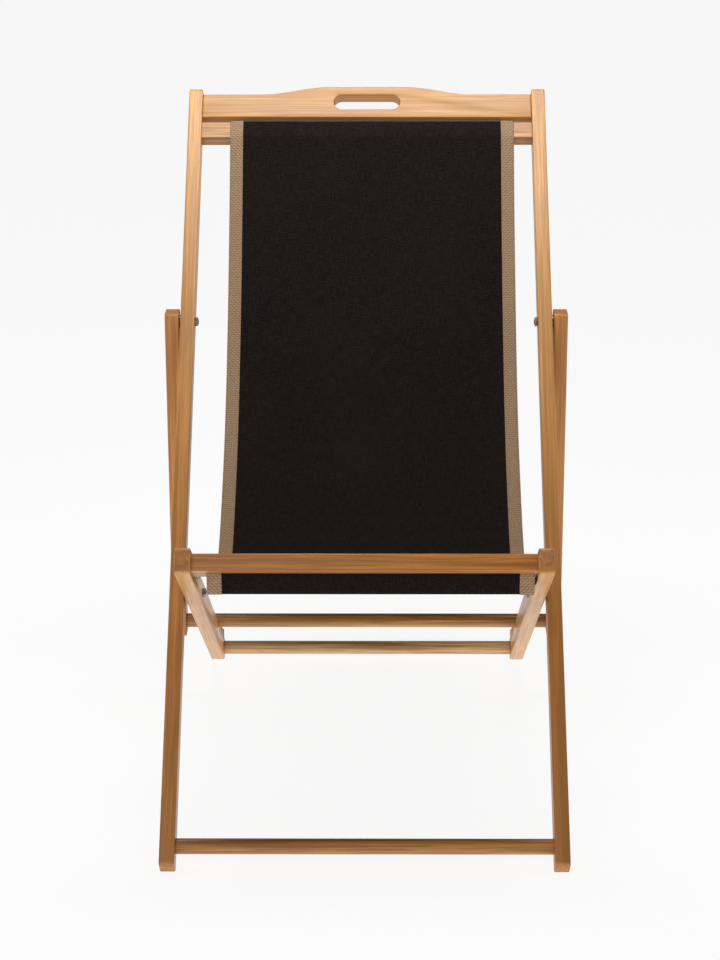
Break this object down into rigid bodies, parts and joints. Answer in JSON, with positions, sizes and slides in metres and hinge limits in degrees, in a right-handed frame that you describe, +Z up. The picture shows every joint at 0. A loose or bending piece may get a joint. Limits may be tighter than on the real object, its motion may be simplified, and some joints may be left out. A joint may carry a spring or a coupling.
{
  "type": "folding deck chair",
  "caption": "Folding timber deck chair with a dark hung canvas sling, a propped leaning back frame, a notched seat frame and a handle rail with a hand slot.",
  "frame": {"origin": "on the floor under the middle of the opened chair's bounding box", "axes": "+Z up, the front of the seat faces -Y, +X across the chair"},
  "size_m": [0.602, 0.9266, 0.9067],
  "materials": {
    "back_wood": "satin oiled",
    "seat_wood": "satin oiled",
    "prop_wood": "satin oiled",
    "canvas": "plain woven canvas",
    "edge_band": "twill webbing",
    "steel": "dull zinc plate"
  },
  "bodies": {
    "back_frame": {"back_stile_left": "back_wood", "back_stile_right": "back_wood", "handle_rail": "back_wood", "head_sling_bar": "back_wood", "foot_rail": "back_wood", "sling_canvas": "canvas", "sling_band_left": "edge_band", "sling_band_right": "edge_band", "seat_pivot_bolts": "steel", "seat_pivot_washers": "steel", "seat_pivot_nuts": "steel", "prop_pivot_bolts": "steel", "prop_pivot_washers": "steel", "prop_pivot_nuts": "steel", "back_frame_pins": "steel"},
    "seat_frame": {"seat_stile_left": "seat_wood", "seat_stile_right": "seat_wood", "front_rail": "seat_wood", "front_sling_bar": "seat_wood", "rear_rail": "seat_wood", "seat_frame_pins": "steel"},
    "prop_frame": {"prop_leg_left": "prop_wood", "prop_leg_right": "prop_wood", "prop_crossbar": "prop_wood", "prop_frame_pins": "steel"}
  },
  "joints": [
    {"name": "seat_fold", "type": "hinge", "parent": "back_frame", "child": "seat_frame", "pos_m": [0, -0.16134, 0.29467], "axis": [-1, 0, 0], "range_deg": [0, 99.5], "deforming": ["sling_canvas", "sling_band_left", "sling_band_right"]},
    {"name": "prop_swing", "type": "hinge", "parent": "back_frame", "child": "prop_frame", "pos_m": [0, 0.1566, 0.60602], "axis": [-1, 0, 0], "range_deg": [0, 41.3]}
  ],
  "couplings": [
    {"joint": "prop_swing", "follows": "seat_fold", "ratio": 0.41}
  ]
}
